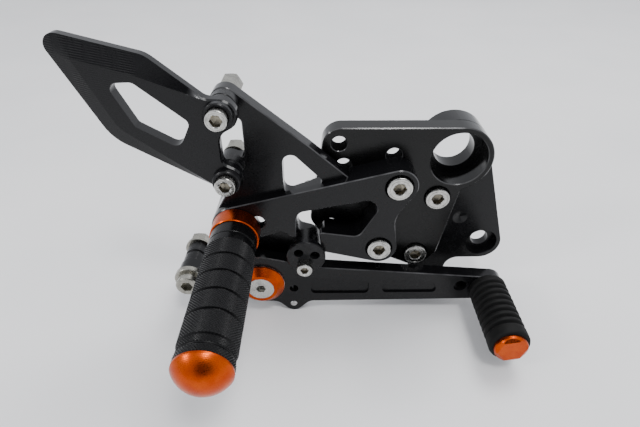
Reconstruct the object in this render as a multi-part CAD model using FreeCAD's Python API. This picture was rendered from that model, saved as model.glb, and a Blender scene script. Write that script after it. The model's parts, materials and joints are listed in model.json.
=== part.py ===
import FreeCAD, Part
import math
import os

# Right-hand adjustable rear set: base plates, hanger, heel guard, foot peg and toe lever.
# Millimetres.  +X is forward, +Y points from the rider's foot into the motorcycle, +Z is up.
# The origin is on the axis of the big frame bore, at the rear face of the base plate.

V = FreeCAD.Vector
Y_AXIS = V(0, 1, 0)

# ---- layers along Y: (front, rear) of each flat piece ----
BASE = (-10.0, 0.0)
LUG = (0.0, 10.0)
HANGER = (-25.0, -10.0)
CARRIER = (-20.5, -12.5)
PIVOT_PLATE = (-12.5, -2.5)
GUARD = (-36.0, -30.0)
LEVER = (-24.0, -16.0)

# ---- bolt and axis positions (x, z) ----
BOLT_TILT = math.radians(11.1)
BOLT_PITCH = 40.0
BOLT_STEP = (-BOLT_PITCH * math.sin(BOLT_TILT), -BOLT_PITCH * math.cos(BOLT_TILT))
BASE_BOLT_TOP = (-8.4, -23.2)
HANGER_BOLT_TOP = (-32.4, -7.7)
SPARE_HOLES = [(-62.7, 9.2), (-34.2, 2.6), (-60.1, -3.4)]
SPARE_PLAIN_HOLE = (-66.6, -41.9)
GUARD_UP = (-116.2, 36.0)
GUARD_LOW = (-116.2, 3.2)
PEG = (-116.9, -33.2)
PIVOT = (-106.5, -74.0)
STOP = (-80.1, -51.0)
STOP_HOLE_RADIUS = 5.2
LUG_HOLE = (26.3, -62.7)
SIGHT_HOLE = (-105.6, -29.8)
SIGHT_HOLE_R = 4.1
TOE = (25.8, -78.0)
ROD = (-147.7, -69.0)
LEVER_PIN = (-88.2, -90.7)

# ---- standard fasteners: shank radius, head radius, head height, hexagon across flats ----
M5 = (2.5, 4.25, 5.0, 4.0)
M6 = (3.0, 5.0, 6.0, 5.0)
M8 = (4.0, 6.5, 8.0, 6.0)
FIT = 0.05          # gap left between a thread or a located shank and its hole
CLEAR = 0.3         # radial clearance of a bolt through a plain hole
EDGE = 0.5          # broken edges of the machined plates
LEAD = 0.6          # lead-in cone of a threaded hole
RUN = 0.04          # running gap of the lever's plain bearing


def below(point):
    """The partner of a tapped hole, one bolt pitch down the tilted bolt line."""
    return (point[0] + BOLT_STEP[0], point[1] + BOLT_STEP[1])


def belt(circles, y):
    """Closed outline round a ring of circles (x, z, r), like a belt; r < 0 is a hollow corner."""
    runs = []
    for i, (x1, z1, r1) in enumerate(circles):
        x2, z2, r2 = circles[(i + 1) % len(circles)]
        length = math.hypot(x2 - x1, z2 - z1)
        ux, uz = (x2 - x1) / length, (z2 - z1) / length
        along = (r1 - r2) / length
        if abs(along) > 1.0:
            raise ValueError("circles %d and %d overlap" % (i, (i + 1) % len(circles)))
        across = math.sqrt(1.0 - along * along)
        nx, nz = ux * along + uz * across, uz * along - ux * across
        runs.append((V(x1 + r1 * nx, y, z1 + r1 * nz), V(x2 + r2 * nx, y, z2 + r2 * nz)))
    edges = []
    for i, (x, z, r) in enumerate(circles):
        arrive, leave = runs[i - 1][1], runs[i][0]
        if (leave - arrive).Length > 1e-6:
            start = math.atan2(arrive.z - z, arrive.x - x)
            sweep = math.atan2(leave.z - z, leave.x - x) - start
            turn = 1.0 if r > 0 else -1.0
            sweep = turn * ((turn * sweep) % (2 * math.pi))
            middle = start + sweep / 2
            size = abs(r)
            through = V(x + size * math.cos(middle), y, z + size * math.sin(middle))
            edges.append(Part.Arc(arrive, through, leave).toShape())
        if (runs[i][1] - leave).Length > 1e-6:
            edges.append(Part.LineSegment(leave, runs[i][1]).toShape())
    return Part.Wire(edges)


def prism(circles, layer, edge=0.0):
    """Flat plate with a belt outline; edge is the size of the broken front and rear edges."""
    front, rear = layer
    if not edge:
        return Part.Face(belt(circles, front)).extrude(V(0, rear - front, 0))
    inner = [(x, z, r - edge) for x, z, r in circles]
    sections = [belt(inner, front),
                belt(circles, front + edge),
                belt(circles, rear - edge),
                belt(inner, rear)]
    return Part.makeLoft(sections, True, True)


def rod(x, z, r, y1, y2):
    """Cylinder along Y from y1 to y2."""
    return Part.makeCylinder(r, y2 - y1, V(x, y1, z), Y_AXIS)


def cone(x, z, r1, r2, y1, y2):
    """Cone along Y, radius r1 at y1 and r2 at y2."""
    return Part.makeCone(r1, r2, y2 - y1, V(x, y1, z), Y_AXIS)


def tube(x, z, outer, inner, y1, y2):
    return rod(x, z, outer, y1, y2).cut(rod(x, z, inner, y1 - 1, y2 + 1))


def hexagon_wire(x, z, flats, y, turn=0.0):
    """Regular hexagon at y, given its width across flats."""
    corner = flats / math.sqrt(3.0)
    points = []
    for i in range(7):
        a = turn + i * math.pi / 3
        points.append(V(x + corner * math.cos(a), y, z + corner * math.sin(a)))
    return Part.makePolygon(points)


def hexagon(x, z, flats, y1, y2, turn=0.0):
    """Hexagonal prism along Y."""
    return Part.Face(hexagon_wire(x, z, flats, y1, turn)).extrude(V(0, y2 - y1, 0))


def lathe(x, z, profile):
    """Solid of revolution about the Y line through (x, z); profile is a list of (radius, y)."""
    points = [V(x + r, y, z) for r, y in profile]
    face = Part.Face(Part.makePolygon(points + points[:1]))
    return face.revolve(V(x, 0, z), Y_AXIS, 360)


def cap_screw(x, z, y_head, size, length, facing=1):
    """Hexagon socket cap screw; facing 1 puts the head in front, -1 behind."""
    shank, head, height, flats = size
    bevel = 0.08 * head
    depth = 0.5 * height
    profile = [(0, 0), (head - bevel, 0), (head, bevel), (head, height),
               (shank, height), (shank, height + length - 0.6),
               (shank - 0.6, height + length), (0, height + length)]
    screw = lathe(x, z, profile).cut(hexagon(x, z, flats, -1, depth))
    return place(screw, x, z, y_head, facing)


def flat_screw(x, z, y_head, shank, head, flats, length, facing=1):
    """Countersunk hexagon socket screw; length is taken overall."""
    rim = 0.4
    profile = [(0, 0), (head, 0), (head, rim), (shank, rim + head - shank),
               (shank, length - 0.6), (shank - 0.6, length), (0, length)]
    screw = lathe(x, z, profile).cut(hexagon(x, z, flats, -1, 0.5 * head))
    return place(screw, x, z, y_head, facing)


def place(shape, x, z, y, facing):
    """Move a piece drawn from y = 0 backwards to y, turning it end for end if facing is -1."""
    if facing < 0:
        shape.rotate(V(x, 0, z), V(0, 0, 1), 180)
    shape.translate(V(0, y, 0))
    return shape


def nut(x, z, y1, y2, size):
    """Plain nut with bevelled corners on the rear side."""
    shank, head = size[0], size[1]
    corner = head * 2 / math.sqrt(3.0)
    body = hexagon(x, z, 2 * head, y1, y2)
    limit = lathe(x, z, [(0, y1), (corner, y1), (corner, y2 - 0.6), (corner - 1.0, y2), (0, y2)])
    return body.common(limit).cut(rod(x, z, shank + FIT, y1 - 1, y2 + 1))


def group(shapes):
    return Part.makeCompound(shapes)


# ---------------------------------------------------------------- frame plates

BORE_R = 15.0
BORE_INNER_R = 11.0
BORE_DEPTH = 3.5
RING_R = 18.0
COLLAR_END = 13.5
SPARE_PLAIN_R = 4.7
BASE_COUNTERBORE_R = 7.3
BASE_COUNTERBORE = 5.5
LUG_BORE_R = 5.25
LUG_COUNTERBORE_R = 9.3
LUG_COUNTERBORE = 5.0
DIMPLE = (10.2, -44.0)


def base_plate():
    outline = [(0, 0, RING_R),
               (-61.5, 7.8, 10.0),
               (-68.5, -36.0, 9.2),
               (-66.7, -42.0, 7.4),
               (-16.1, -62.5, 9.5),
               (-9.0, -60.0, 5.6),
               (6.4, -20.7, -3.0)]
    plate = prism(outline, BASE, EDGE)
    plate = plate.cut(rod(0, 0, BORE_R, -11, 1))
    plate = plate.cut(cone(0, 0, BORE_R + EDGE, BORE_R, BASE[0], BASE[0] + EDGE))
    for x, z in (HANGER_BOLT_TOP, below(HANGER_BOLT_TOP)):
        plate = plate.cut(rod(x, z, M8[0] + FIT, -11, 1))
    for x, z in SPARE_HOLES:
        plate = plate.cut(rod(x, z, M8[0] + FIT, -11, 1))
        plate = plate.cut(cone(x, z, M8[0] + LEAD, M8[0], BASE[0], BASE[0] + LEAD))
        plate = plate.cut(cone(x, z, M8[0], M8[0] + LEAD, BASE[1] - LEAD, BASE[1]))
    plate = plate.cut(rod(SPARE_PLAIN_HOLE[0], SPARE_PLAIN_HOLE[1], SPARE_PLAIN_R, -11, 1))
    for x, z in (BASE_BOLT_TOP, below(BASE_BOLT_TOP)):
        plate = plate.cut(rod(x, z, M8[0] + CLEAR, -11, 1))
        plate = plate.cut(rod(x, z, BASE_COUNTERBORE_R, BASE[0] - 1, BASE[0] + BASE_COUNTERBORE))
    return plate


def lug_plate():
    outline = [(0, 0, RING_R),
               (-15.5, -60.0, 10.0),
               (-4.0, -84.0, 9.8),
               (14.2, -82.7, -8.2),
               (LUG_HOLE[0], LUG_HOLE[1], 11.6)]
    plate = prism(outline, LUG)
    collar = rod(0, 0, RING_R, LUG[0], COLLAR_END)
    collar = collar.makeChamfer(EDGE, [e for e in collar.Edges if abs(e.BoundBox.YMin - COLLAR_END) < 1e-6])
    plate = plate.fuse(collar).removeSplitter()
    plate = plate.cut(rod(0, 0, BORE_R, -1, BORE_DEPTH))
    plate = plate.cut(rod(0, 0, BORE_INNER_R, BORE_DEPTH - 1, COLLAR_END + 1))
    x, z = LUG_HOLE
    plate = plate.cut(rod(x, z, LUG_BORE_R, -1, 11))
    plate = plate.cut(rod(x, z, LUG_COUNTERBORE_R, -1, LUG_COUNTERBORE))
    for x, z in (BASE_BOLT_TOP, below(BASE_BOLT_TOP)):
        plate = plate.cut(rod(x, z, M8[0] + FIT, -1, 11))
    # shallow mark left by the drill that starts an unused hole
    return plate.cut(cone(DIMPLE[0], DIMPLE[1], 4.4, 0.5, -0.01, 1.2))


def base_screws():
    y_head = BASE[0] + BASE_COUNTERBORE - M8[2]
    return group([cap_screw(x, z, y_head, M8, 13.5) for x, z in (BASE_BOLT_TOP, below(BASE_BOLT_TOP))])


# ---------------------------------------------------------------- hanger

COUNTERBORE_R = 7.5
COUNTERBORE = 6.0
CARRIER_SCREWS = [(-93.0, -22.0), (-77.5, -15.5)]
CARRIER_SCREW_DEPTH = 3.5


def hanger():
    top = HANGER_BOLT_TOP
    low = below(top)
    outline = [(top[0], top[1], 9.8),
               (PEG[0], PEG[1], 13.3),
               (-96.4, -45.8, -10.5),
               (-86.9, -38.2, 1.5),
               (-80.0, -27.5, -5.0),
               (-48.0, -21.3, -5.4),
               (-54.5, -33.5, -5.2),
               (-71.2, -38.0, 1.6),
               (-68.5, -46.5, 3.5),
               (low[0], low[1], 9.8),
               (-18.0, -30.0, -14.5)]
    plate = prism(outline, HANGER, EDGE)
    # the rear is milled away to leave a web in front of the guard carrier
    pocket = Part.makeBox(90, 12, 120, V(-160, CARRIER[0], -70))
    pocket = pocket.fuse(prism(carrier_outline(CARRIER_GAP), (CARRIER[0], HANGER[1] + 1)))
    plate = plate.cut(pocket)
    for x, z in (top, low):
        plate = plate.cut(rod(x, z, M8[0] + CLEAR, -26, -9))
        plate = plate.cut(rod(x, z, COUNTERBORE_R, HANGER[0] - 1, HANGER[0] + COUNTERBORE))
    x, z = SIGHT_HOLE
    plate = plate.cut(rod(x, z, SIGHT_HOLE_R, -26, -9))
    plate = plate.cut(cone(x, z, SIGHT_HOLE_R + LEAD, SIGHT_HOLE_R, HANGER[0], HANGER[0] + LEAD))
    plate = plate.cut(rod(PEG[0], PEG[1], M8[0] + FIT, -26, -9))
    for x, z in CARRIER_SCREWS:
        plate = plate.cut(rod(x, z, M5[0] + FIT, CARRIER[0] - CARRIER_SCREW_DEPTH, -9))
    return plate


def hanger_screws():
    y_head = HANGER[0] + COUNTERBORE - M8[2]
    return group([cap_screw(x, z, y_head, M8, 17.5) for x, z in (HANGER_BOLT_TOP, below(HANGER_BOLT_TOP))])


# ---------------------------------------------------------------- guard carrier

PLATE_SCREW = (-92.5, -33.0)
CARRIER_GAP = 0.4


def carrier_outline(grow=0.0):
    return [(GUARD_UP[0], GUARD_UP[1], 6.7 + grow),
            (-112.6, 25.0, -3.2 + grow),
            (-111.8, 9.6, -2.4 + grow),
            (-116.8, 3.0, 5.6 + grow),
            (-127.0, -8.5, -8.0 + grow),
            (PEG[0], PEG[1], 13.0 + grow),
            (-93.0, -34.0, 5.0 + grow),
            (-82.0, -27.5, -6.0 + grow),
            (-58.4, -5.6, 1.2 + grow),
            (-81.7, 8.6, 6.0 + grow)]


def guard_carrier():
    plate = prism(carrier_outline(), CARRIER, EDGE)
    window = [(-87.0, 4.2, 4.2), (-87.0, -9.9, 4.2), (-73.4, -6.6, 2.0)]
    plate = plate.cut(prism(window, (CARRIER[0] - 1, CARRIER[1] + 1)))
    for x, z in (GUARD_UP, GUARD_LOW):
        plate = plate.cut(rod(x, z, M6[0] + CLEAR, -22, -11))
    slot = [(SIGHT_HOLE[0], SIGHT_HOLE[1], SIGHT_HOLE_R), (-105.9, -34.6, 3.6)]
    plate = plate.cut(prism(slot, (CARRIER[0] - 1, CARRIER[1] + 1)))
    plate = plate.cut(rod(PEG[0], PEG[1], M8[0] + FIT, -22, -11))
    for x, z in CARRIER_SCREWS:
        plate = plate.cut(rod(x, z, M5[0] + CLEAR, -22, -11))
        plate = plate.cut(cone(x, z, M5[0] + CLEAR, 5.5, CARRIER[1] - 2.7, CARRIER[1] + 0.001))
    return plate.cut(rod(PLATE_SCREW[0], PLATE_SCREW[1], M5[0] + FIT, -19, -11))


def carrier_screws():
    return group([flat_screw(x, z, CARRIER[1] - 0.1, M5[0], 4.9, 3.0, 11.0, -1) for x, z in CARRIER_SCREWS])


# ---------------------------------------------------------------- heel guard

CUP_FLOOR = 0.6
CUP_HEIGHT = 3.0
GUARD_HEAD_SEAT = GUARD[0] - CUP_FLOOR
GUARD_SCREW = (M6[0], 4.85, M6[2], M6[3])
WASHER = 1.6
UPPER_NUT = 14.0
LOWER_NUT = 8.0


def heel_guard():
    """Guard plate whose edge is planed off at a slant, widest along the top and the rear."""
    outline = [(-115.5, 35.3, 7.3),
               (-119.2, 48.8, -6.0),
               (-149.15, 50.4, 12.0),
               (-177.2, 64.9, 5.0),
               (-149.2, 38.6, 20.0),
               (-115.6, 3.4, 6.8),
               (-113.2, 14.5, -4.2),
               (-111.4, 22.4, -6.0)]
    face = [(-115.5, 35.3, 6.8),
            (-119.2, 48.8, -6.5),
            (-149.9, 52.1, 1.5),
            (-172.0, 59.5, 0.6),
            (-149.2, 38.6, 13.7),
            (-115.6, 3.4, 6.3),
            (-113.2, 14.5, -4.7),
            (-111.4, 22.4, -6.5)]
    rear = [(x, z, r - EDGE) for x, z, r in outline]
    sections = [belt(face, GUARD[0]),
                belt(outline, GUARD[0] + 1.4),
                belt(outline, GUARD[1] - EDGE),
                belt(rear, GUARD[1])]
    plate = Part.makeLoft(sections, True, True)
    window = [(-132.7, 31.7, 3.0),
              (-151.6, 46.6, 3.8),
              (-156.6, 47.0, 3.2),
              (-151.05, 32.35, 2.5),
              (-136.9, 25.6, 4.0)]
    plate = plate.cut(prism(window, (GUARD[0] - 1, GUARD[1] + 1)))
    for x, z in (GUARD_UP, GUARD_LOW):
        plate = plate.cut(rod(x, z, M6[0] + CLEAR, GUARD[0] - 1, GUARD[1] + 1))
    return plate


def guard_spacers():
    """Turned spacers with one grip groove near the guard."""
    spacers = []
    front, rear = GUARD[1], CARRIER[0]
    outer, groove, bore = 6.4, 5.9, M6[0] + CLEAR
    for x, z in (GUARD_UP, GUARD_LOW):
        profile = [(bore, front), (outer, front), (outer, front + 2.0), (groove, front + 2.4),
                   (groove, front + 3.0), (outer, front + 3.4), (outer, rear), (bore, rear)]
        spacers.append(lathe(x, z, profile))
    return group(spacers)


def guard_cups():
    """Cup washers that hold the heads of the guard screws."""
    cups = []
    top = GUARD[0] - CUP_HEIGHT
    outer, bore, recess = 6.5, M6[0] + CLEAR, GUARD_SCREW[1] + CLEAR
    for x, z in (GUARD_UP, GUARD_LOW):
        profile = [(bore, GUARD[0]), (outer, GUARD[0]), (outer, top + 0.5), (outer - 0.5, top),
                   (recess, top), (recess, GUARD_HEAD_SEAT), (bore, GUARD_HEAD_SEAT)]
        cups.append(lathe(x, z, profile))
    return group(cups)


def guard_screws():
    y_head = GUARD_HEAD_SEAT - M6[2]
    return group([cap_screw(x, z, y_head, GUARD_SCREW, 35.0) for x, z in (GUARD_UP, GUARD_LOW)])


def guard_washers():
    rear = CARRIER[1]
    return group([tube(x, z, 6.0, M6[0] + CLEAR, rear, rear + WASHER) for x, z in (GUARD_UP, GUARD_LOW)])


def guard_nuts():
    """Sleeve nut on the upper screw, plain nut on the lower one."""
    front = CARRIER[1] + WASHER
    return group([nut(GUARD_UP[0], GUARD_UP[1], front, front + UPPER_NUT, M6),
                  nut(GUARD_LOW[0], GUARD_LOW[1], front, front + LOWER_NUT, M6)])


# ---------------------------------------------------------------- foot peg

COLLAR_FRONT = -35.0
NECK_END = -42.6
KNURL_START = -48.2
KNURL_END = -105.6
BARREL_END = -110.8
RING_END = -114.6
DOME_TIP = -122.8
KNURL_R = 12.5
GROOVE_FIRST = -59.4
GROOVE_PITCH = 11.4
GROOVE_COUNT = 4
STUD_END = -94.0
PEG_SEAT = PIVOT_PLATE[1] - 6.0


def peg_collar():
    return lathe(*PEG, [(6.0 + FIT, HANGER[0]), (12.4, HANGER[0]), (12.8, HANGER[0] - 0.4),
                        (12.8, COLLAR_FRONT + 0.4), (12.4, COLLAR_FRONT), (6.0 + FIT, COLLAR_FRONT)])


def peg_barrel():
    """Barrel with grip grooves, a spigot through the collar and bores for its two screws."""
    neck, band, dip = 12.1, 12.2, 0.8
    profile = [(M8[0] + FIT, HANGER[0]), (6.0, HANGER[0]), (6.0, COLLAR_FRONT),
               (neck - 0.4, COLLAR_FRONT), (neck, COLLAR_FRONT - 0.4), (neck, NECK_END),
               (11.6, NECK_END - 0.4), (band, NECK_END - 0.8), (band, KNURL_START + 0.2),
               (KNURL_R, KNURL_START)]
    for i in range(GROOVE_COUNT):
        y = GROOVE_FIRST - i * GROOVE_PITCH
        profile += [(KNURL_R, y + 0.8), (KNURL_R - dip, y + 0.5),
                    (KNURL_R - dip, y - 0.5), (KNURL_R, y - 0.8)]
    profile += [(KNURL_R, KNURL_END), (12.0, KNURL_END - 0.4), (12.0, BARREL_END + 1.2),
                (11.6, BARREL_END + 0.8), (11.2, BARREL_END + 0.8), (11.2, BARREL_END), (M8[0] + FIT, BARREL_END)]
    return lathe(*PEG, profile)


def peg_ring():
    """Thin knurled ring clamped between the barrel and the dome."""
    return lathe(*PEG, [(M8[0] + CLEAR, BARREL_END), (12.0, BARREL_END), (12.4, BARREL_END - 0.4),
                        (12.4, RING_END + 0.4), (12.0, RING_END), (M8[0] + CLEAR, RING_END)])


def peg_dome():
    """Domed end cap with a threaded stud that screws into the barrel."""
    x, z = PEG
    edge, ball_r = 12.35, 14.1
    ball = Part.makeSphere(ball_r, V(x, DOME_TIP + ball_r, z))
    body = rod(x, z, edge, DOME_TIP - 1, RING_END).common(ball)
    stud = rod(x, z, M8[0], RING_END - 1, STUD_END)
    return body.fuse(stud).removeSplitter()


def peg_bolt():
    """M8 screw from behind through the pivot plate, carrier and hanger into the barrel."""
    return cap_screw(PEG[0], PEG[1], PEG_SEAT + M8[2], M8, 50.0, -1)


# ---------------------------------------------------------------- pivot plate and stop

STOP_FACE = -28.5
STOP_FLANGE = -25.2
STOP_FLANGE_R = 10.7
STOP_R = 7.9


def stop_hole(i):
    """Centre of one of the three holes spaced evenly round the stop."""
    a = math.radians(141.0 - 120.0 * i)
    return (STOP[0] + STOP_HOLE_RADIUS * math.cos(a), STOP[1] + STOP_HOLE_RADIUS * math.sin(a))


def pivot_plate():
    """Rear plate that joins the peg, the lever's spindle and the stop."""
    outline = [(PEG[0], PEG[1], 13.0),
               (PIVOT[0], PIVOT[1], 13.6),
               (STOP[0], STOP[1] - 3.2, 8.2),
               (-80.2, -40.4, -5.0),
               (PLATE_SCREW[0], PLATE_SCREW[1], 7.0)]
    plate = prism(outline, PIVOT_PLATE, EDGE)
    window = [(-104.6, -34.0, 4.2), (-104.2, -42.0, 4.6)]
    plate = plate.cut(prism(window, (PIVOT_PLATE[0] - 1, PIVOT_PLATE[1] + 1)))
    plate = plate.cut(rod(PEG[0], PEG[1], M8[0] + CLEAR, -13, -2))
    plate = plate.cut(rod(PEG[0], PEG[1], M8[1] + CLEAR, PEG_SEAT, -2))
    plate = plate.cut(rod(PIVOT[0], PIVOT[1], 7.0, -13, -2))
    x, z = stop_hole(2)
    plate = plate.cut(rod(x, z, M5[0] + FIT, -13, -2))
    x, z = PLATE_SCREW
    plate = plate.cut(rod(x, z, M5[0] + CLEAR, -13, -2))
    return plate.cut(rod(x, z, M5[1] + CLEAR, PIVOT_PLATE[1] - M5[2], -2))


def plate_screw():
    return cap_screw(PLATE_SCREW[0], PLATE_SCREW[1], PIVOT_PLATE[1], M5, 11.0, -1)


def stop_cam():
    """Column with a flange; any of its three holes may take the screw, which shifts the stop."""
    x, z = STOP
    cam = rod(x, z, STOP_FLANGE_R, STOP_FACE, STOP_FLANGE)
    cam = cam.makeChamfer(0.5, [e for e in cam.Edges if abs(e.BoundBox.YMax - STOP_FACE) < 1e-6])
    cam = cam.fuse(rod(x, z, STOP_R, STOP_FLANGE, PIVOT_PLATE[0])).removeSplitter()
    for i in range(3):
        hx, hz = stop_hole(i)
        cam = cam.cut(rod(hx, hz, M5[0] + 0.15, STOP_FACE - 1, PIVOT_PLATE[0] + 1))
    return cam


def stop_screw():
    x, z = stop_hole(2)
    return cap_screw(x, z, STOP_FACE - M5[2], M5, 24.5)


# ---------------------------------------------------------------- lever and its pivot

HUB_BUSH_R = 9.0
SPINDLE_R = 7.0
ALT_TOE = (10.0, -76.4)
OIL_HOLE = (-87.8, -78.4)
SET_SCREW = (-39.0, -70.0)


def lever():
    outline = [(TOE[0] + 1.0, TOE[1] - 0.2, 8.6),
               (-70.0, -58.3, -4.0),
               (-75.8, -61.3, 2.2),
               (-85.5, -55.1, -4.0),
               (PIVOT[0], PIVOT[1] + 2.4, 17.0),
               (-131.0, -54.0, -9.0),
               (ROD[0], ROD[1], 7.0),
               (-128.0, -87.5, -9.0),
               (PIVOT[0], PIVOT[1] - 2.0, 13.4),
               (-100.6, -96.3, -7.0),
               (LEVER_PIN[0], LEVER_PIN[1], 5.8),
               (-75.6, -96.0, -7.0)]
    plate = prism(outline, LEVER, EDGE)
    plate = plate.cut(rod(PIVOT[0], PIVOT[1], HUB_BUSH_R, -25, -15))
    front = LEVER[0]
    pockets = [[(-46.6, -75.0, 2.8), (-75.0, -72.0, 2.0), (-75.0, -79.6, 2.8), (-46.6, -79.4, 2.8)],
               [(-7.0, -75.6, 2.0), (-33.0, -73.4, 2.6), (-33.0, -79.0, 2.6), (-6.4, -79.0, 2.4)]]
    for circles in pockets:
        plate = plate.cut(prism(circles, (front - 1, front + 1.2)))
    plate = plate.cut(rod(OIL_HOLE[0], OIL_HOLE[1], 2.6, -25, -15))
    plate = plate.cut(rod(ALT_TOE[0], ALT_TOE[1], 3.8, -25, -15))
    plate = plate.cut(rod(TOE[0], TOE[1], 4.0, -25, -15))
    plate = plate.cut(rod(ROD[0], ROD[1], 4.0 + FIT, -25, -15))
    plate = plate.cut(rod(LEVER_PIN[0], LEVER_PIN[1], 2.0, -25, -15))
    plate = plate.cut(Part.makeCylinder(1.5 + FIT, 6.0, V(SET_SCREW[0], -20, SET_SCREW[1]), V(0, 0, 1)))
    return plate


def lever_bush():
    return tube(PIVOT[0], PIVOT[1], HUB_BUSH_R, SPINDLE_R + RUN, LEVER[0], LEVER[1])


def lever_pin():
    return lathe(*LEVER_PIN, [(0, -24.6), (1.6, -24.6), (2.0, -24.2), (2.0, -16.2), (1.8, -16.0), (0, -16.0)])


def set_screw():
    x, z = SET_SCREW
    screw = Part.makeCylinder(1.5, 3.2, V(x, -20, z), V(0, 0, 1))
    recess = hexagon(x, 0, 1.5, 0, 2.0)
    recess.rotate(V(x, 0, 0), V(1, 0, 0), 90)
    recess.translate(V(0, -20, z + 1.4))
    return screw.cut(recess)


def pivot_spindle():
    """Hollow spindle, flanged behind the pivot plate and tapped M8 in front."""
    front = LEVER[0] - 0.1
    return lathe(*PIVOT, [(M8[0] + FIT, front), (SPINDLE_R, front), (SPINDLE_R, PIVOT_PLATE[1]),
                          (11.0, PIVOT_PLATE[1]), (11.0, PIVOT_PLATE[1] + 3.4), (10.4, PIVOT_PLATE[1] + 4.0),
                          (M8[0] + FIT, PIVOT_PLATE[1] + 4.0)])


def pivot_spacer():
    return tube(PIVOT[0], PIVOT[1], 13.4, SPINDLE_R, LEVER[1] + 0.1, PIVOT_PLATE[0])


CAP_BACK = LEVER[0] - 0.7
CAP_FRONT = CAP_BACK - 4.4
CSK_R = 7.5
PIVOT_WASHER_R = 13.4


def pivot_washer():
    return tube(PIVOT[0], PIVOT[1], PIVOT_WASHER_R, M8[0] + CLEAR, CAP_BACK, LEVER[0] - 0.1)


def pivot_cap():
    cap = lathe(*PIVOT, [(M8[0] + CLEAR, CAP_BACK), (13.3, CAP_BACK), (13.3, CAP_BACK - 0.8),
                         (9.4, CAP_FRONT), (M8[0] + CLEAR, CAP_FRONT)])
    seat = lathe(*PIVOT, [(0, CAP_FRONT - 1), (CSK_R + 0.1, CAP_FRONT - 1), (CSK_R + 0.1, CAP_FRONT + 0.4),
                          (M8[0], CAP_FRONT + 0.5 + CSK_R - M8[0]), (0, CAP_FRONT + 0.5 + CSK_R - M8[0])])
    return cap.cut(seat)


def pivot_screw():
    return flat_screw(PIVOT[0], PIVOT[1], CAP_FRONT, M8[0], CSK_R, 5.0, 20.0)


# ---------------------------------------------------------------- push rod end of the lever

def rod_bolt():
    """Flanged socket screw at the rear end of the lever."""
    x, z = ROD
    flange = LEVER[0] - 3.0
    top = flange - 5.5
    bolt = lathe(x, z, [(0, top), (5.8, top), (6.3, top + 0.5), (6.3, flange), (7.8, flange),
                        (8.2, flange + 0.4), (8.2, LEVER[0]), (4.0, LEVER[0]), (4.0, 9.4), (3.4, 10.0), (0, 10.0)])
    return bolt.cut(hexagon(x, z, M8[3], top - 1, top + 4.0))


def rod_spacer():
    x, z = ROD
    r, waist = 6.4, 5.6
    return lathe(x, z, [(4.0 + FIT, LEVER[1]), (r, LEVER[1]), (r, -9.0), (waist, -8.4),
                        (waist, -7.4), (r, -6.8), (r, 0.6), (4.0 + FIT, 0.6)])


def rod_washer():
    return tube(ROD[0], ROD[1], 8.0, 4.0 + FIT, 0.6, 2.2)


def rod_nut():
    return nut(ROD[0], ROD[1], 2.2, 8.7, M8)


# ---------------------------------------------------------------- toe peg

TOE_FRONT = -66.8
RIB_START = -27.0
RIB_END = -61.0
RIB_COUNT = 8
CAP_TURN = math.radians(12)


def toe_core():
    """Aluminium core, spigoted into the lever and tapped at both ends."""
    profile = [(3.0 + FIT, -16.4), (3.0 + FIT, -42.0), (0, -43.5), (0, -55.0), (2.5 + FIT, -56.5),
               (2.5 + FIT, TOE_FRONT), (7.5, TOE_FRONT), (7.5, LEVER[0]), (4.0, LEVER[0]), (4.0, -16.4)]
    return lathe(*TOE, profile)


def toe_rubber():
    """Ribbed rubber sleeve, plain at both ends."""
    crest, valley = 10.7, 9.8
    profile = [(7.5, LEVER[0]), (10.2, LEVER[0]), (crest, LEVER[0] - 0.5), (crest, RIB_START)]
    pitch = (RIB_END - RIB_START) / RIB_COUNT
    for i in range(RIB_COUNT):
        y = RIB_START + i * pitch
        profile += [(valley, y + 0.15 * pitch), (valley, y + 0.40 * pitch), (crest, y + 0.60 * pitch),
                    (crest, y + pitch)]
    profile += [(crest, TOE_FRONT + 1.2), (9.8, TOE_FRONT), (7.5, TOE_FRONT)]
    return lathe(*TOE, profile)


def toe_cap():
    """End cap with six sloping facets and a stud into the core."""
    x, z = TOE
    r, rim, tip = 8.7, TOE_FRONT - 1.6, TOE_FRONT - 3.2
    body = lathe(x, z, [(0, tip), (8.0, tip), (r, rim), (r, TOE_FRONT), (2.5, TOE_FRONT),
                        (2.5, -58.0), (0, -58.0)])
    stub = hexagon(x, z, 2.1 * r, rim, TOE_FRONT + 9.0, CAP_TURN)
    facets = Part.makeLoft([hexagon_wire(x, z, 13.0, tip - 0.01, CAP_TURN),
                            hexagon_wire(x, z, 2.1 * r, rim, CAP_TURN)], True, True)
    return body.common(facets.fuse(stub))


def toe_screw():
    return cap_screw(TOE[0], TOE[1], LEVER[1] + 3.3, (3.0, 5.25, 3.3, 4.0), 22.0, -1)


# ---------------------------------------------------------------- write the pieces

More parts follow.
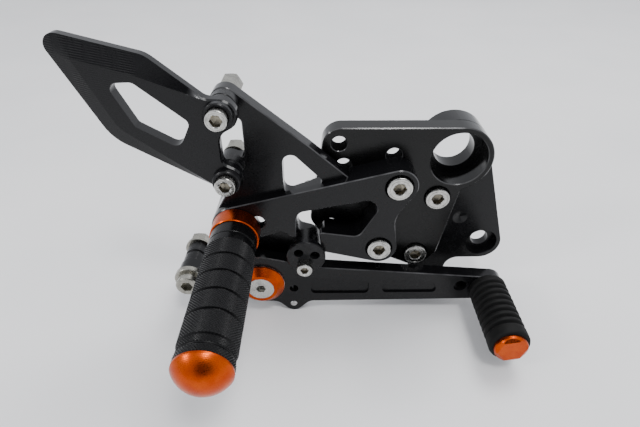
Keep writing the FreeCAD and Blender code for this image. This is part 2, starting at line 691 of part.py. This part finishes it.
def build():
    return {
        "base_plate": base_plate(),
        "lug_plate": lug_plate(),
        "base_screws": base_screws(),
        "hanger": hanger(),
        "hanger_screws": hanger_screws(),
        "guard_carrier": guard_carrier(),
        "carrier_screws": carrier_screws(),
        "heel_guard": heel_guard(),
        "guard_spacers": guard_spacers(),
        "guard_cups": guard_cups(),
        "guard_screws": guard_screws(),
        "guard_washers": guard_washers(),
        "guard_nuts": guard_nuts(),
        "pivot_plate": pivot_plate(),
        "plate_screw": plate_screw(),
        "peg_collar": peg_collar(),
        "peg_barrel": peg_barrel(),
        "peg_ring": peg_ring(),
        "peg_dome": peg_dome(),
        "peg_bolt": peg_bolt(),
        "stop_cam": stop_cam(),
        "stop_screw": stop_screw(),
        "lever": lever(),
        "lever_bush": lever_bush(),
        "lever_pin": lever_pin(),
        "set_screw": set_screw(),
        "pivot_spindle": pivot_spindle(),
        "pivot_spacer": pivot_spacer(),
        "pivot_washer": pivot_washer(),
        "pivot_cap": pivot_cap(),
        "pivot_screw": pivot_screw(),
        "rod_bolt": rod_bolt(),
        "rod_spacer": rod_spacer(),
        "rod_washer": rod_washer(),
        "rod_nut": rod_nut(),
        "toe_core": toe_core(),
        "toe_rubber": toe_rubber(),
        "toe_cap": toe_cap(),
        "toe_screw": toe_screw(),
    }


os.makedirs("parts", exist_ok=True)
for node, shape in build().items():
    shape.exportStep("parts/" + node + ".step")
    print(node, shape.isValid(), len(shape.Solids), round(shape.Volume, 1))
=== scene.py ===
import bmesh
import bpy
import json
import math
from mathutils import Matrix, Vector


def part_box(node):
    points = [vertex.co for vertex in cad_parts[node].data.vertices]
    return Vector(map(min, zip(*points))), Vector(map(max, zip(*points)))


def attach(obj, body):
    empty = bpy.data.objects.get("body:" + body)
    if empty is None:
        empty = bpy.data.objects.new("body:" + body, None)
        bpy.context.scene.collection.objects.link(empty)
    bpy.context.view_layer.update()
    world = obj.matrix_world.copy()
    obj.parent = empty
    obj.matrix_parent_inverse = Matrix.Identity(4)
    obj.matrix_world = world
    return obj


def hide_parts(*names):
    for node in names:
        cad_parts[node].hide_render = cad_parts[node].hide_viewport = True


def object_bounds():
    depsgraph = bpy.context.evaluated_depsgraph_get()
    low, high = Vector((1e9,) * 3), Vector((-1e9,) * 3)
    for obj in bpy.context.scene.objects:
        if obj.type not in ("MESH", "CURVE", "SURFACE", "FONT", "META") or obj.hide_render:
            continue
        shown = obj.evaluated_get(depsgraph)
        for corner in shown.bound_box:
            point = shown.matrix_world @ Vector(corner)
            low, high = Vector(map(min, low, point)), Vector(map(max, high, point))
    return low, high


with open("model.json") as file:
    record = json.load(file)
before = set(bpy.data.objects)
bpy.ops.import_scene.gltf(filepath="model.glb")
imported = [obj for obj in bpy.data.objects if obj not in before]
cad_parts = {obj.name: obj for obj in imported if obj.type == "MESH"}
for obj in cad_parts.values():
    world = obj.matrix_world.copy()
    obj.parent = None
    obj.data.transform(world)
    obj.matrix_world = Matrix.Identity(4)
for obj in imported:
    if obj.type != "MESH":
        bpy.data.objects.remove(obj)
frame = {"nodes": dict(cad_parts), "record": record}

# Looks of the adjustable rear set: anodised plates, turned orange caps, plated screws, a knurled
# foot peg and a ribbed rubber toe peg.  Metres; +X forward, +Y into the motorcycle, +Z up.

MM = 0.001
cad_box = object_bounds()


# ---------------------------------------------------------------- node helpers

class Paint:
    """A new material with short calls for the nodes that the finishes below share."""

    def __init__(self, name, color, roughness, metallic=0.0, specular=0.5):
        self.material = bpy.data.materials.new(name)
        self.material.use_nodes = True
        self.nodes = self.material.node_tree.nodes
        self.links = self.material.node_tree.links
        self.shader = self.nodes["Principled BSDF"]
        self.shader.inputs["Base Color"].default_value = (*color, 1.0)
        self.shader.inputs["Roughness"].default_value = roughness
        self.shader.inputs["Metallic"].default_value = metallic
        self.shader.inputs["Specular IOR Level"].default_value = specular
        self.coordinates = self.nodes.new("ShaderNodeTexCoord")
        self.split = self.nodes.new("ShaderNodeSeparateXYZ")
        self.links.new(self.coordinates.outputs["Object"], self.split.inputs[0])
        self.heights = []
        self.rough = None       # last roughness given, for finishes that change it in one place
        self.bare = None        # how far the anodising is rubbed off, on plates

    def math(self, operation, first, second=0.0):
        """A Math node on two sockets or numbers."""
        node = self.nodes.new("ShaderNodeMath")
        node.operation = operation
        for socket, value in zip(node.inputs, (first, second)):
            if isinstance(value, (int, float)):
                socket.default_value = value
            else:
                self.links.new(value, socket)
        return node.outputs[0]

    def spread(self, value, from_low, from_high, to_low, to_high):
        """Maps a range of values to another, without leaving it."""
        node = self.nodes.new("ShaderNodeMapRange")
        self.links.new(value, node.inputs["Value"])
        for name, number in (("From Min", from_low), ("From Max", from_high),
                             ("To Min", to_low), ("To Max", to_high)):
            node.inputs[name].default_value = number
        return node.outputs["Result"]

    def noise(self, grain, detail=3.0, stretch=(1.0, 1.0, 1.0)):
        """Noise whose blobs are about grain metres across, drawn out along an axis by stretch."""
        mapping = self.nodes.new("ShaderNodeMapping")
        mapping.inputs["Scale"].default_value = [1.0 / s for s in stretch]
        self.links.new(self.coordinates.outputs["Object"], mapping.inputs["Vector"])
        node = self.nodes.new("ShaderNodeTexNoise")
        node.inputs["Scale"].default_value = 1.0 / grain
        node.inputs["Detail"].default_value = detail
        self.links.new(mapping.outputs[0], node.inputs["Vector"])
        return node.outputs["Fac"]

    def waves(self, distance, pitch):
        """A sine from 0 to 1 with one wave every pitch metres."""
        wave = self.math("SINE", self.math("MULTIPLY", distance, 2.0 * math.pi / pitch))
        return self.math("ADD", self.math("MULTIPLY", wave, 0.5), 0.5)

    def radius(self, x, z):
        """Distance from the line along Y through (x, z)."""
        across = self.math("POWER", self.math("SUBTRACT", self.split.outputs[0], x), 2.0)
        up = self.math("POWER", self.math("SUBTRACT", self.split.outputs[2], z), 2.0)
        return self.math("SQRT", self.math("ADD", across, up))

    def facing_y(self):
        """How far the surface faces front or rear: 1 on the flat of a plate, 0 on its edge."""
        split = self.nodes.new("ShaderNodeSeparateXYZ")
        self.links.new(self.coordinates.outputs["Normal"], split.inputs[0])
        return self.math("ABSOLUTE", split.outputs[1])

    def between(self, value, low, high, blur):
        """1 where value lies between low and high, 0 outside, with soft ends."""
        above = self.spread(value, low - blur, low + blur, 0.0, 1.0)
        below = self.spread(value, high - blur, high + blur, 1.0, 0.0)
        return self.math("MULTIPLY", above, below)

    def roughness(self, value):
        """Gives a roughness that varies to the surface."""
        self.rough = value
        self.links.new(value, self.shader.inputs["Roughness"])

    def metallic(self, value):
        """Gives a metallic share that varies to the surface."""
        self.links.new(value, self.shader.inputs["Metallic"])

    def color(self, amount, first, second):
        """Mixes two colours by amount and gives the result to the surface."""
        node = self.nodes.new("ShaderNodeMix")
        node.data_type = "RGBA"
        node.inputs[6].default_value = (*first, 1.0)
        node.inputs[7].default_value = (*second, 1.0)
        self.links.new(amount, node.inputs[0])
        self.links.new(node.outputs[2], self.shader.inputs["Base Color"])

    def relief(self, height, depth):
        """Adds a relief of depth metres on top of those already there."""
        node = self.nodes.new("ShaderNodeBump")
        node.inputs["Distance"].default_value = depth
        node.inputs["Strength"].default_value = 1.0
        self.links.new(height, node.inputs["Height"])
        if self.heights:
            self.links.new(self.heights[-1], node.inputs["Normal"])
        self.heights.append(node.outputs["Normal"])
        self.links.new(node.outputs["Normal"], self.shader.inputs["Normal"])


# ---------------------------------------------------------------- finishes

BLACK = (0.004, 0.004, 0.0046)
WORN_BLACK = (0.035, 0.035, 0.038)
RUBBED = (0.42, 0.42, 0.43)             # bare aluminium where the anodising is rubbed off
# colour of the base plate, and painted shade in its tapped holes
PLATE_BLACK_AND_HOLE_SHADE = (0.002, 0.002, 0.002)
M8_PITCH = 1.25 * MM
# x, z of the tapped holes, as the base plate's CAD has them; the frame doesn't list them
SPARE_HOLES = [(-0.0627, 0.0092), (-0.0342, 0.0026), (-0.0601, -0.0034)]
SPARE_HOLE_REACH = 4.15 * MM            # just wider than the threads of an M8 hole


def anodised_plate(name):
    """Satin black anodising over a fine milled grain, glossier on the edges, rubbed on the chamfers."""
    paint = Paint(name, BLACK, 0.34, specular=0.27)
    facing = paint.facing_y()
    smudge = paint.noise(9 * MM, 4.0)
    grain = paint.noise(0.22 * MM, 2.0, (6.0, 1.0, 1.0))
    chamfer = paint.between(facing, 0.45, 0.84, 0.05)
    flat = paint.spread(facing, 0.55, 0.97, 0.0, 1.0)
    paint.bare = paint.math("MULTIPLY", chamfer, paint.spread(smudge, 0.35, 0.65, 0.06, 0.20))
    paint.color(paint.bare, BLACK, RUBBED)
    paint.metallic(paint.bare)
    satin = paint.spread(flat, 0.0, 1.0, 0.14, 0.25)
    base = paint.math("ADD", satin, paint.spread(smudge, 0.3, 0.7, -0.03, 0.05))
    paint.roughness(paint.math("ADD", base, paint.spread(grain, 0.3, 0.7, -0.03, 0.03)))
    paint.relief(grain, 0.004 * MM)
    return paint


def tapped_plate():
    """The same anodising on the base plate, with relief rings like threads in its tapped holes, whose walls
    are painted black, metallic and fully rough as painted shade.
    """
    paint = anodised_plate("anodised_base_plate")
    inside = None
    for x, z in SPARE_HOLES:
        distance = paint.radius(x, z)
        near = paint.spread(distance, SPARE_HOLE_REACH, SPARE_HOLE_REACH + 0.05 * MM, 1.0, 0.0)
        inside = near if inside is None else paint.math("MAXIMUM", inside, near)
    threads = paint.waves(paint.split.outputs[1], M8_PITCH)
    outside = paint.math("SUBTRACT", 1.0, inside)
    bare = paint.math("MULTIPLY", paint.bare, outside)
    # Inside the tapped holes: black, fully metallic and fully rough, painted shade that stands for the
    # darkness of the holes.
    paint.color(bare, PLATE_BLACK_AND_HOLE_SHADE, RUBBED)
    paint.metallic(paint.math("MAXIMUM", bare, inside))
    paint.roughness(paint.math("MAXIMUM", paint.rough, inside))
    paint.relief(paint.math("MULTIPLY", threads, inside), 0.45 * MM)
    return paint.material


def guard_plate():
    """The same anodising, with cutter marks on the rear half of the upper planed bevel."""
    paint = anodised_plate("anodised_guard")
    x, z = paint.split.outputs[0], paint.split.outputs[2]
    across = paint.math("ADD", paint.math("MULTIPLY", x, 0.20), paint.math("MULTIPLY", z, 0.98))
    marks = paint.waves(across, 0.95 * MM)
    broken = paint.spread(paint.noise(3.0 * MM, 2.0, (1.0, 1.0, 4.0)), 0.35, 0.60, 0.0, 1.0)
    bevel = paint.between(paint.facing_y(), 0.90, 0.9990, 0.004)
    low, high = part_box("heel_guard")
    width, height = high[0] - low[0], high[2] - low[2]
    upper = paint.spread(z, high[2] - 0.42 * height, high[2] - 0.32 * height, 0.0, 1.0)
    rear_half = paint.spread(x, low[0] + 0.42 * width, low[0] + 0.48 * width, 1.0, 0.0)
    area = paint.math("MULTIPLY", upper, rear_half)
    where = paint.math("MULTIPLY", paint.math("MULTIPLY", bevel, area), broken)
    paint.relief(paint.math("MULTIPLY", marks, where), 0.09 * MM)
    return paint.material


def turned_black(name, pitch):
    """Black anodising over fine turning lines along Y, pitch metres apart."""
    paint = Paint(name, BLACK, 0.3, specular=0.25)
    lines = paint.waves(paint.split.outputs[1], pitch)
    smudge = paint.noise(5 * MM, 4.0)
    paint.color(paint.spread(smudge, 0.45, 0.75, 0.0, 0.35), BLACK, WORN_BLACK)
    paint.roughness(paint.spread(smudge, 0.3, 0.7, 0.22, 0.34))
    paint.relief(lines, 0.012 * MM)
    return paint.material


def knurled_black():
    """Black anodised knurling: the points are rubbed brighter than the grooves."""
    paint = Paint("anodised_knurl", BLACK, 0.3, specular=0.22)
    low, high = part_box("peg_barrel")
    outer = (high[0] - low[0]) / 2
    distance = paint.radius((low[0] + high[0]) / 2, (low[2] + high[2]) / 2)
    points = paint.spread(distance, outer - 0.10 * MM, outer, 0.0, 1.0)
    dirt = paint.noise(0.8 * MM, 3.0)
    rubbed = paint.math("MULTIPLY", points, paint.spread(dirt, 0.30, 0.70, 0.5, 1.0))
    paint.color(rubbed, (0.002, 0.002, 0.0023), (0.020, 0.020, 0.021))
    paint.roughness(paint.spread(dirt, 0.3, 0.7, 0.20, 0.38))
    paint.relief(dirt, 0.01 * MM)
    return paint.material


ORANGE = (0.50, 0.070, 0.005)
DEEP_ORANGE = (0.37, 0.030, 0.003)


def turned_orange(name, node, pitch, across):
    """Orange anodising over turning marks round a node's axis, along Y or (across) out over its face."""
    low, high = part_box(node)
    x, z = (low[0] + high[0]) / 2, (low[2] + high[2]) / 2
    paint = Paint(name, ORANGE, 0.3, metallic=1.0)
    distance = paint.radius(x, z) if across else paint.split.outputs[1]
    lines = paint.waves(distance, pitch)
    patch = paint.noise(6 * MM, 3.0)
    paint.color(paint.spread(patch, 0.35, 0.7, 0.0, 0.7), ORANGE, DEEP_ORANGE)
    paint.roughness(paint.spread(paint.noise(0.6 * MM, 3.0), 0.3, 0.7, 0.24, 0.36))
    paint.relief(lines, 0.008 * MM)
    return paint.material


def plated(name, color, rough):
    """Bright plating or bare steel: slight haze, stains and fine scratches."""
    paint = Paint(name, color, rough, metallic=1.0)
    haze = paint.noise(1.2 * MM, 4.0)
    stain = paint.noise(3.5 * MM, 3.0)
    scratch = paint.noise(0.10 * MM, 2.0, (1.0, 12.0, 1.0))
    darker = tuple(0.5 * c for c in color)
    paint.color(paint.spread(stain, 0.45, 0.75, 0.0, 0.8), color, darker)
    paint.roughness(paint.spread(haze, 0.3, 0.7, rough - 0.07, rough + 0.10))
    paint.relief(scratch, 0.006 * MM)
    return paint.material


def toe_peg_rubber():
    """Matte moulded rubber, dusty in places."""
    paint = Paint("moulded_rubber", (0.006, 0.006, 0.006), 0.62, specular=0.16)
    dust = paint.noise(4 * MM, 5.0)
    grain = paint.noise(0.35 * MM, 3.0)
    paint.color(paint.spread(dust, 0.45, 0.8, 0.0, 0.6), (0.0035, 0.0035, 0.0035), (0.011, 0.0105, 0.010))
    paint.roughness(paint.spread(dust, 0.3, 0.7, 0.52, 0.74))
    paint.relief(grain, 0.03 * MM)
    return paint.material


def table_top():
    """Pale painted table with faint clouding."""
    paint = Paint("table", (0.83, 0.83, 0.835), 0.5, specular=0.25)
    cloud = paint.noise(0.12, 3.0)
    paint.color(paint.spread(cloud, 0.3, 0.7, 0.0, 1.0), (0.815, 0.815, 0.82), (0.855, 0.85, 0.85))
    paint.roughness(paint.spread(cloud, 0.3, 0.7, 0.42, 0.55))
    return paint.material


FINISHES = {
    "black_plate": anodised_plate("anodised_plate").material,
    "black_turned": turned_black("anodised_turned", 0.35 * MM),
    "black_knurl": knurled_black(),
    "orange": turned_orange("orange_sleeve", "peg_collar", 0.45 * MM, False),
    "zinc": plated("bright_plating", (0.54, 0.535, 0.51), 0.24),
    "steel": plated("turned_steel", (0.62, 0.62, 0.62), 0.22),
    "bronze": plated("bearing_bronze", (0.55, 0.37, 0.17), 0.35),
    "rubber": toe_peg_rubber(),
}
# Darker brownish copy of the plating for the hex sockets of the screws: painted shade in the recesses.
SOCKET_PAINTED_SHADE = plated("socket_painted_shade", (0.30, 0.275, 0.22), 0.30)
DULL_ZINC = plated("dull_plating", (0.36, 0.35, 0.31), 0.24)
OWN_FINISH = {      # nodes that don't take the finish of their slot
    "guard_nuts": DULL_ZINC,
    "guard_washers": DULL_ZINC,
    "rod_bolt": DULL_ZINC,
    "rod_nut": DULL_ZINC,
    "rod_washer": DULL_ZINC,
    "base_plate": tapped_plate(),
    "heel_guard": guard_plate(),
    "peg_dome": turned_orange("orange_dome", "peg_dome", 0.40 * MM, True),
    "pivot_cap": turned_orange("orange_cap", "pivot_cap", 0.55 * MM, True),
    "toe_cap": turned_orange("orange_facets", "toe_cap", 0.30 * MM, True),
}


def finish_nodes():
    """Gives each CAD node its finish."""
    for subpart in frame["record"]["subparts"]:
        node = subpart["node"]
        mesh = frame["nodes"][node].data
        mesh.materials.clear()
        mesh.materials.append(OWN_FINISH.get(node, FINISHES[subpart["material_slot"]]))


# ---------------------------------------------------------------- mesh helpers

def turned(axis, rows):
    """Vertices and triangles of a surface turned round the line along Y through axis (x, z).

    Each row is (y, radii), with one radius for each column.  The triangles' diagonals change side from
    one column to the next, so that rows of alternating radii make a diamond knurl."""
    columns = len(rows[0][1])
    vertices = []
    for y, radii in rows:
        for i, radius in enumerate(radii):
            angle = 2.0 * math.pi * i / columns
            vertices.append((axis[0] + radius * math.cos(angle), y, axis[1] + radius * math.sin(angle)))
    faces = []
    for j in range(len(rows) - 1):
        for i in range(columns):
            k = (i + 1) % columns
            a, b = j * columns + i, j * columns + k
            c, d = a + columns, b + columns
            if (i + j) % 2:
                faces += [(a, c, d), (a, d, b)]
            else:
                faces += [(a, c, b), (b, c, d)]
    return vertices, faces


def piece(name, parts, slot, node, body, crisp=30.0, second=None):
    """One object from several turned surfaces; it stands for a CAD node and rides its body.

    second is a material for every other part, such as the sockets of screws."""
    vertices, faces, material_index = [], [], []
    for i, (part_vertices, part_faces) in enumerate(parts):
        start = len(vertices)
        vertices += part_vertices
        faces += [tuple(start + v for v in face) for face in part_faces]
        material_index += [i % 2 if second else 0] * len(part_faces)
    mesh = bpy.data.meshes.new(name)
    mesh.from_pydata(vertices, [], faces)
    mesh.polygons.foreach_set("material_index", material_index)
    work = bmesh.new()
    work.from_mesh(mesh)
    bmesh.ops.remove_doubles(work, verts=work.verts, dist=0.002 * MM)
    bmesh.ops.recalc_face_normals(work, faces=work.faces)
    work.to_mesh(mesh)
    work.free()
    mesh.polygons.foreach_set("use_smooth", [True] * len(mesh.polygons))
    mesh.set_sharp_from_angle(angle=math.radians(crisp))
    mesh.materials.append(FINISHES[slot])
    if second:
        mesh.materials.append(second)
    made = bpy.data.objects.new(name, mesh)
    bpy.context.scene.collection.objects.link(made)
    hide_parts(node)
    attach(made, body)


def plain(y, radius, columns):
    """A round row."""
    return (y, [radius] * columns)


def ridged(y, radius, depth, columns):
    """A row whose every other column is cut in by depth, for straight knurling."""
    return (y, [radius - depth * (i % 2) for i in range(columns)])


def six_sided(y, flats, columns):
    """A hexagonal row, given the width across flats."""
    sixth = math.pi / 3.0
    radii = []
    for i in range(columns):
        angle = (2.0 * math.pi * i / columns) % sixth
        radii.append(flats / 2.0 / math.cos(angle - sixth / 2.0))
    return (y, radii)


def middle(node):
    """(x, z) of the middle of a node's box."""
    low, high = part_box(node)
    return (low[0] + high[0]) / 2, (low[2] + high[2]) / 2


# ---------------------------------------------------------------- knurled foot peg

KNURL_COLUMNS = 116
KNURL_DEPTH = 0.32 * MM
GROOVE_COUNT = 4
GROOVE_PITCH = 11.4 * MM
GROOVE_DEPTH = 0.85 * MM
GROOVE_HALF = 0.75 * MM         # half the width at the lips
GROOVE_FLOOR_HALF = 0.45 * MM
SPIGOT_R = 6.0 * MM
# distances along the barrel from its rear end
V_GROOVE = 17.5 * MM
KNURL_START = 23.2 * MM
FIRST_GROOVE = 34.4 * MM
KNURL_END = 80.6 * MM
CRISP_KNURL = 12.0              # degrees between faces that still shade smoothly


def diamonds(start, end, radius):
    """Rows of diamond knurling from y = start to end."""
    step = 2.0 * math.pi * radius / KNURL_COLUMNS
    count = max(2, round(abs(end - start) / step))
    rows = []
    for j in range(count + 1):
        y = start + (end - start) * j / count
        rows.append((y, [radius - KNURL_DEPTH * ((i + j) % 2) for i in range(KNURL_COLUMNS)]))
    return rows


def foot_peg_barrel():
    """Knurled barrel with a smooth neck, a V groove, four grip grooves and a lower front band."""
    low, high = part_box("peg_barrel")
    rear, front = high[1], low[1]
    radius = (high[0] - low[0]) / 2
    neck, band, nose = radius - 0.4 * MM, radius - 0.3 * MM, radius - 0.5 * MM
    lip, bottom = radius - KNURL_DEPTH, radius - GROOVE_DEPTH
    collar_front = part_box("peg_collar")[0][1]
    v_groove, start, end = rear - V_GROOVE, rear - KNURL_START, rear - KNURL_END

    def rounds(profile):
        return [plain(y, r, KNURL_COLUMNS) for y, r in profile]

    rows = rounds([(rear, 0.0), (rear, SPIGOT_R), (collar_front, SPIGOT_R), (collar_front, neck - 0.4 * MM),
                   (collar_front - 0.15 * MM, neck - 0.1 * MM), (collar_front - 0.4 * MM, neck),
                   (v_groove, neck), (v_groove - 0.2 * MM, neck - 0.15 * MM),
                   (v_groove - 0.5 * MM, neck - 0.6 * MM), (v_groove - 0.8 * MM, band - 0.2 * MM),
                   (v_groove - 1.1 * MM, band), (start + 0.4 * MM, band), (start + 0.1 * MM, lip)])
    for i in range(GROOVE_COUNT):
        y = rear - FIRST_GROOVE - GROOVE_PITCH * i
        rows += diamonds(start, y + GROOVE_HALF, radius)
        rows += rounds([(y + GROOVE_HALF, lip), (y + GROOVE_FLOOR_HALF, bottom),
                        (y - GROOVE_FLOOR_HALF, bottom), (y - GROOVE_HALF, lip)])
        start = y - GROOVE_HALF
    rows += diamonds(start, end, radius)
    rows += rounds([(end - 0.1 * MM, lip), (end - 0.5 * MM, nose - KNURL_DEPTH)])
    rows += diamonds(end - 0.7 * MM, front + 1.4 * MM, nose)
    rows += rounds([(front + 1.3 * MM, nose - KNURL_DEPTH), (front + 1.0 * MM, nose - 0.45 * MM),
                    (front + 0.8 * MM, nose - 0.6 * MM), (front + 0.8 * MM, nose - 0.8 * MM),
                    (front, nose - 0.8 * MM), (front, 0.0)])
    parts = [turned(middle("peg_barrel"), rows)]
    piece("foot_peg_barrel", parts, "black_knurl", "peg_barrel", "frame_set", CRISP_KNURL)


def foot_peg_ring():
    """Thin ring with the same diamond knurling, between the barrel and the dome."""
    low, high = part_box("peg_ring")
    radius = (high[0] - low[0]) / 2
    rear, front = high[1], low[1]
    edge = 0.45 * MM
    rows = [plain(rear, 0.0, KNURL_COLUMNS), plain(rear, radius - edge, KNURL_COLUMNS)]
    rows += diamonds(rear - edge, front + edge, radius)
    rows += [plain(front, radius - edge, KNURL_COLUMNS), plain(front, 0.0, KNURL_COLUMNS)]
    parts = [turned(middle("peg_ring"), rows)]
    piece("foot_peg_ring", parts, "black_knurl", "peg_ring", "frame_set", CRISP_KNURL)


# ---------------------------------------------------------------- ribbed toe peg

RIB_COUNT = 8
RIB_STEPS = 10                  # rows in one rib
FIRST_RIB = 3.0 * MM            # from the sleeve's rear end
LAST_RIB = 37.0 * MM
VALLEY = 2.1 * MM
VALLEY_POWER = 2.6              # narrows the valleys and broadens the ribs
SLEEVE_BORE_R = 7.5 * MM


def toe_peg_sleeve():
    """Rubber sleeve with eight round ribs and plain ends."""
    columns = 96
    low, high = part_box("toe_rubber")
    radius = (high[0] - low[0]) / 2
    rear, front = high[1], low[1]
    rows = [plain(rear, SLEEVE_BORE_R, columns), plain(rear, radius - 0.6 * MM, columns),
            plain(rear - 0.2 * MM, radius - 0.2 * MM, columns), plain(rear - 0.7 * MM, radius, columns)]
    pitch = (LAST_RIB - FIRST_RIB) / RIB_COUNT
    for i in range(RIB_COUNT * RIB_STEPS + 1):
        phase = 2.0 * math.pi * i / RIB_STEPS
        dip = max(0.0, 0.5 - 0.5 * math.cos(phase)) ** VALLEY_POWER
        rows.append(plain(rear - FIRST_RIB - pitch * i / RIB_STEPS, radius - VALLEY * dip, columns))
    rows += [plain(front + 1.6 * MM, radius, columns), plain(front + 0.7 * MM, radius - 0.3 * MM, columns),
             plain(front + 0.2 * MM, radius - 0.9 * MM, columns), plain(front, radius - 1.6 * MM, columns),
             plain(front, SLEEVE_BORE_R, columns)]
    parts = [turned(middle("toe_rubber"), rows)]
    piece("toe_peg_sleeve", parts, "rubber", "toe_rubber", "toe_lever", 50.0)


# ---------------------------------------------------------------- socket screws

# shank radius, head radius, head height, socket width across flats, thread pitch
M5 = (2.5 * MM, 4.25 * MM, 5.0 * MM, 4.0 * MM, 0.8 * MM)
M6_GUARD = (3.0 * MM, 4.85 * MM, 6.0 * MM, 5.0 * MM, 1.0 * MM)
M8 = (4.0 * MM, 6.5 * MM, 8.0 * MM, 6.0 * MM, M8_PITCH)
SCREW_COLUMNS = 72
THREAD_LENGTH = 22.0 * MM       # the longest thread that a screw has


def socket_screw(axis, face, size, length, facing):
    """Cap screw with a knurled head, a ringed face and a hexagon socket.

    Its thread is drawn as separate ring grooves near its end, not as one helix.

    The two parts are its outside and its socket.  facing is 1 for a head in front, -1 for one behind."""
    shank, head, height, flats, pitch = size
    n = SCREW_COLUMNS
    depth, edge, cut = 0.5 * height, 0.08 * head, 0.035 * head
    rim = flats / math.sqrt(3.0) + 0.02 * head
    mouth, ring = 0.04 * height, 0.03 * height
    socket = [plain(depth + 0.25 * flats, 0.0, n), six_sided(depth, flats, n), six_sided(mouth, flats, n)]
    rows = [six_sided(mouth, flats, n), plain(0.0, rim, n),
            plain(0.0, 0.74 * head, n), plain(ring, 0.76 * head, n),
            plain(ring, 0.82 * head, n), plain(0.0, 0.84 * head, n),
            plain(0.0, head - edge, n), plain(0.4 * edge, head - 0.3 * edge, n), plain(edge, head, n),
            plain(edge + 0.02 * height, head, n), ridged(1.8 * edge, head, cut, n),
            ridged(height - 0.6 * edge, head, cut, n), plain(height, head - 0.5 * edge, n),
            plain(height, shank, n)]
    smooth = max(0.0, length - THREAD_LENGTH)
    rings = int((length - smooth - pitch) / pitch)
    groove = [0.0, 0.15, 0.3, 0.15]      # depth of a ring groove in pitches, at each quarter of a pitch
    for i in range(4 * rings + 1):
        y = height + smooth + 0.25 * pitch * i + 0.3 * pitch
        rows.append(plain(y, shank - groove[i % 4] * pitch, n))
    tip = height + length
    rows += [plain(tip - 0.3 * pitch, shank - 0.4 * pitch, n), plain(tip, shank - 0.6 * pitch, n),
             plain(tip, 0.0, n)]
    return [turned(axis, [(face + facing * y, radii) for y, radii in part]) for part in (rows, socket)]


def screws(node, size, facing=1):
    """The screws of one node: one where its box is square, two at opposite corners where it isn't."""
    low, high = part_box(node)
    head = size[1]
    face = low[1] if facing > 0 else high[1]
    length = (high[1] - low[1]) - size[2]
    places = [(high[0] - head, high[2] - head)]
    if high[2] - low[2] > 3.0 * head:
        places.append((low[0] + head, low[2] + head))
    parts = []
    for place in places:
        parts += socket_screw(place, face, size, length, facing)
    # The sockets take the darker plating, painted shade inside them.
    piece(node + "_detailed", parts, "zinc", node, "frame_set", 28.0, SOCKET_PAINTED_SHADE)


def all_screws():
    """The cap screws that can be seen.  The other screws keep their CAD shape."""
    screws("base_screws", M8)
    screws("hanger_screws", M8)
    screws("guard_screws", M6_GUARD)
    screws("stop_screw", M5)
    screws("peg_bolt", M8, -1)
    screws("plate_screw", M5, -1)


# ---------------------------------------------------------------- camera, floor and light

CAMERA_PLACE = (-0.07246, -0.225, 0.11844)
CAMERA_TILT = 54.64             # degrees up from looking straight down
LENS = 26.44
LIGHTS_AIM = (-0.06, 0.0, -0.02)
TOWARD_VIEWER = (0.12, -0.92, 0.36)


def camera():
    """Seen from the rider's side and from above, with the peg pointing at the viewer."""
    data = bpy.data.cameras.new("camera")
    data.sensor_width = 36.0
    data.lens = LENS
    made = bpy.data.objects.new("camera", data)
    made.location = CAMERA_PLACE
    made.rotation_euler = (math.radians(CAMERA_TILT), 0.0, 0.0)
    bpy.context.scene.collection.objects.link(made)
    bpy.context.scene.camera = made


def floor():
    """Pale table under the lowest point of the object."""
    low = cad_box[0][2]
    mesh = bpy.data.meshes.new("table")
    mesh.from_pydata([(-3, -2, low), (3, -2, low), (3, 4, low), (-3, 4, low)], [], [(0, 1, 2, 3)])
    mesh.materials.append(table_top())
    made = bpy.data.objects.new("table", mesh)
    bpy.context.scene.collection.objects.link(made)


def softbox(name, place, size, power):
    """Square area light that looks at the middle of the object."""
    data = bpy.data.lights.new(name, "AREA")
    data.size = size
    data.energy = power
    made = bpy.data.objects.new(name, data)
    made.location = place
    aim = Vector(LIGHTS_AIM) - made.location
    made.rotation_euler = aim.to_track_quat("-Z", "Y").to_euler()
    bpy.context.scene.collection.objects.link(made)


def sky(strength):
    """Even pale light, darker on the side where the viewer stands."""
    world = bpy.data.worlds.new("sky")
    world.use_nodes = True
    nodes, links = world.node_tree.nodes, world.node_tree.links
    background = nodes["Background"]
    background.inputs["Strength"].default_value = strength
    direction = nodes.new("ShaderNodeTexCoord")
    toward = nodes.new("ShaderNodeVectorMath")
    toward.operation = "DOT_PRODUCT"
    toward.inputs[1].default_value = Vector(TOWARD_VIEWER).normalized()
    links.new(direction.outputs["Generated"], toward.inputs[0])
    ramp = nodes.new("ShaderNodeValToRGB")
    ramp.color_ramp.elements[0].position = 0.80
    ramp.color_ramp.elements[0].color = (0.93, 0.95, 1.0, 1.0)
    ramp.color_ramp.elements[1].position = 0.95
    ramp.color_ramp.elements[1].color = (0.10, 0.10, 0.11, 1.0)
    links.new(toward.outputs["Value"], ramp.inputs["Fac"])
    links.new(ramp.outputs["Color"], background.inputs["Color"])
    bpy.context.scene.world = world


finish_nodes()
foot_peg_barrel()
foot_peg_ring()
toe_peg_sleeve()
all_screws()
camera()
floor()
softbox("window", (0.35, 0.45, 1.15), 0.6, 10.0)
softbox("lamp", (0.16, -0.55, 1.12), 0.24, 6.0)
softbox("side_lamp", (-1.05, -0.50, 0.65), 0.16, 3.0)
sky(1.07)
